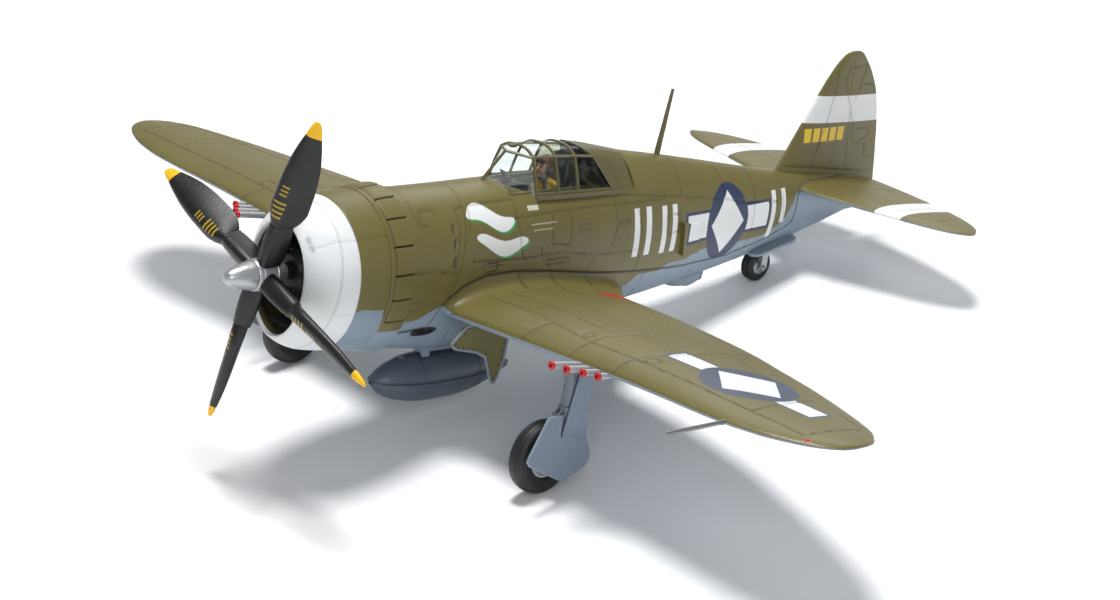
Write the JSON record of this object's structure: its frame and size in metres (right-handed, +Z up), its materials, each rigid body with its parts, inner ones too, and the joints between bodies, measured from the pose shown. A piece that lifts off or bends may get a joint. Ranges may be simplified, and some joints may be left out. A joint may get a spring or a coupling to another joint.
{
  "type": "display model fighter plane",
  "caption": "Die-cast display model of a radial-engined propeller fighter standing on its wheels, with spinning propeller, rolling wheels and a plug-on drop tank.",
  "frame": {"origin": "on the ground under the middle of the whole model, midway across the span", "axes": "+X towards the nose, +Y towards the port wing tip, +Z up; the model stands nose-up on its three wheels"},
  "size_m": [0.1507, 0.1726, 0.0615],
  "materials": {
    "olive_paint": "satin olive drab paint on cast zinc",
    "white_paint": "satin white paint on cast zinc",
    "black_engine": "satin black",
    "brass": "turned",
    "steel": "turned",
    "silver_paint": "silver paint",
    "black_plastic": "satin black",
    "clear_plastic": "clear moulding with painted frames",
    "cockpit_green": "matt",
    "figure_paint": "hand painted",
    "black_gloss": "gloss black",
    "olive_plastic": "satin olive drab",
    "grey_plastic": "satin blue-grey",
    "light_grey_plastic": "satin",
    "tyre_rubber": "satin",
    "tank_paint": "satin dark blue-grey",
    "red_lamp": "gloss red",
    "green_lamp": "gloss green"
  },
  "bodies": {
    "airframe": {"upper_fuselage": "olive_paint", "lower_fuselage_wing": "olive_paint", "engine_cowling": "white_paint", "cowl_flap_ring": "olive_paint", "radial_engine": "black_engine", "engine_bulkhead": "black_engine", "lower_intake_duct": "olive_paint", "shaft_bush": "brass", "canopy": "clear_plastic", "cockpit_tub": "cockpit_green", "pilot_seat": "black_plastic", "head_armour": "black_plastic", "pilot_figure": "figure_paint", "instrument_coaming": "black_gloss", "gunsight": "black_gloss", "control_stick": "black_plastic", "antenna_mast": "olive_plastic", "pitot_tube": "steel", "left_gun_barrels": "silver_paint", "right_gun_barrels": "silver_paint", "left_inner_gear_door": "grey_plastic", "right_inner_gear_door": "grey_plastic", "left_tailwheel_door": "grey_plastic", "right_tailwheel_door": "grey_plastic", "drop_tank_pylon": "tank_paint", "supercharger_hood": "grey_plastic", "left_intercooler_door": "olive_plastic", "right_intercooler_door": "olive_plastic", "left_wingtip_lamp": "red_lamp", "right_wingtip_lamp": "green_lamp", "assembly_screws": "steel"},
    "propeller": {"propeller_hub": "silver_paint", "propeller_blades": "black_plastic", "prop_shaft": "steel", "shaft_collar": "brass"},
    "left_gear": {"left_gear_leg": "grey_plastic", "left_gear_door": "grey_plastic", "left_axle": "steel"},
    "left_wheel": {"left_wheel_hub": "light_grey_plastic", "left_tyre": "tyre_rubber"},
    "right_gear": {"right_gear_leg": "grey_plastic", "right_gear_door": "grey_plastic", "right_axle": "steel"},
    "right_wheel": {"right_wheel_hub": "light_grey_plastic", "right_tyre": "tyre_rubber"},
    "tail_fork": {"tail_wheel_fork": "silver_paint", "tail_axle": "steel"},
    "tail_wheel": {"tail_wheel_hub": "silver_paint", "tail_tyre": "tyre_rubber"},
    "drop_tank": {"drop_tank_upper_half": "tank_paint", "drop_tank_lower_half": "tank_paint"}
  },
  "joints": [
    {"name": "propeller_spin", "type": "hinge", "parent": "airframe", "child": "propeller", "pos_m": [0.0684, 0, 0.03564], "axis": [0.981, 0, 0.1942], "continuous": true},
    {"name": "left_gear_unplug", "type": "slide", "parent": "airframe", "child": "left_gear", "axis": [0.1942, 0, -0.981], "range_m": [0, 0.006]},
    {"name": "right_gear_unplug", "type": "slide", "parent": "airframe", "child": "right_gear", "axis": [0.1942, 0, -0.981], "range_m": [0, 0.006]},
    {"name": "left_wheel_spin", "type": "hinge", "parent": "left_gear", "child": "left_wheel", "pos_m": [0.03964, 0.0311, 0.006], "axis": [0, 1, 0], "continuous": true},
    {"name": "right_wheel_spin", "type": "hinge", "parent": "right_gear", "child": "right_wheel", "pos_m": [0.03964, -0.0311, 0.006], "axis": [0, 1, 0], "continuous": true},
    {"name": "tail_fork_swivel", "type": "hinge", "parent": "airframe", "child": "tail_fork", "pos_m": [-0.04322, 0, 0.00538], "axis": [-0.1942, 0, 0.981], "range_deg": [-25, 25]},
    {"name": "tail_wheel_spin", "type": "hinge", "parent": "tail_fork", "child": "tail_wheel", "pos_m": [-0.04295, 0, 0.003], "axis": [0, 1, 0], "continuous": true},
    {"name": "drop_tank_release", "type": "slide", "parent": "airframe", "child": "drop_tank", "axis": [0.1942, 0, -0.981], "range_m": [0, 0.006]}
  ]
}
